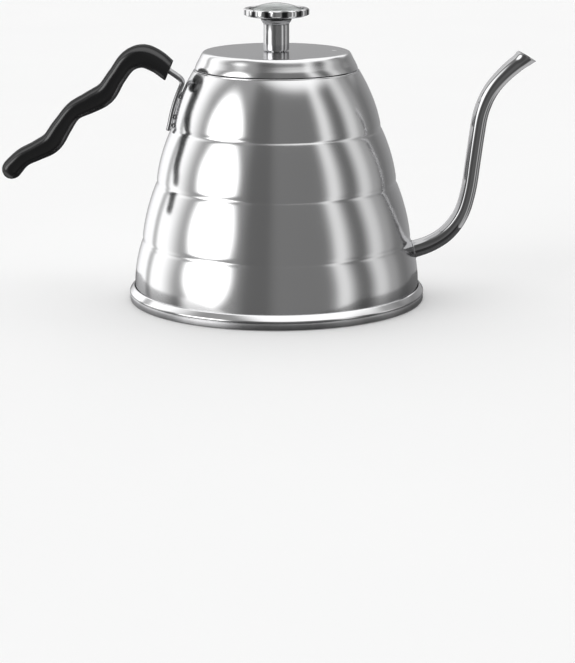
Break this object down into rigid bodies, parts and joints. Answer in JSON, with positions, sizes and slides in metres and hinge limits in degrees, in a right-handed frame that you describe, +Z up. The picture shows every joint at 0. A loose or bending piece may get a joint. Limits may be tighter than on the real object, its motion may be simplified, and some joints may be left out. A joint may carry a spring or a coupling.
{
  "type": "gooseneck kettle",
  "caption": "Stepped beehive pour-over kettle with a slim gooseneck spout, a wavy side handle and a lift-off lid whose knob is a dial thermometer.",
  "frame": {"origin": "centre of the flat underside of the base cap, which is also on the kettle's turning axis", "axes": "+Z up along the turning axis of body, lid and thermometer; +X towards the spout; -X towards the handle; +Y completes a right-handed frame, and the kettle is symmetric about the XZ plane"},
  "size_m": [0.2612, 0.146, 0.1457],
  "materials": {
    "polished_steel": "mirror-polished stainless steel, slightly soft reflections",
    "satin_steel": "satin stainless steel",
    "aluminium_core": "plain machined aluminium",
    "black_grip": "satin black moulded plastic, heat resistant",
    "silicone_seal": "matt silicone rubber",
    "clear_lens": "clear domed glass",
    "dial_face": "matt white printed dial",
    "bimetal_strip": "bare metal strip",
    "pointer_paint": "matt paint"
  },
  "bodies": {
    "kettle": {"kettle_body": "polished_steel", "bottom_pan": "satin_steel", "heat_core": "aluminium_core", "base_cap": "polished_steel", "spout_tube": "polished_steel", "handle_wire": "satin_steel", "grip_pin": "satin_steel", "handle_grip": "black_grip"},
    "lid": {"lid_cover": "polished_steel", "lid_inner_ring": "satin_steel", "knob_stem": "polished_steel", "stem_seal": "silicone_seal", "stem_washer": "satin_steel", "stem_nut": "satin_steel", "dial_case": "polished_steel", "dial_bezel": "polished_steel", "dial_lens": "clear_lens", "lens_gasket": "silicone_seal", "dial_plate": "dial_face", "probe_tube": "satin_steel", "probe_tip": "satin_steel", "bimetal_coil": "bimetal_strip", "spindle_bush": "bimetal_strip"},
    "pointer": {"pointer_spindle": "satin_steel", "dial_pointer": "pointer_paint"}
  },
  "joints": [
    {"name": "lid_lift", "type": "slide", "parent": "kettle", "child": "lid", "axis": [0, 0, 1], "range_m": [0, 0.082]},
    {"name": "pointer_turn", "type": "hinge", "parent": "lid", "child": "pointer", "pos_m": [0, 0, 0.1412], "axis": [0, 0, -1], "range_deg": [-54, 216], "stiffness_Nm_per_rad": 0.00001}
  ]
}
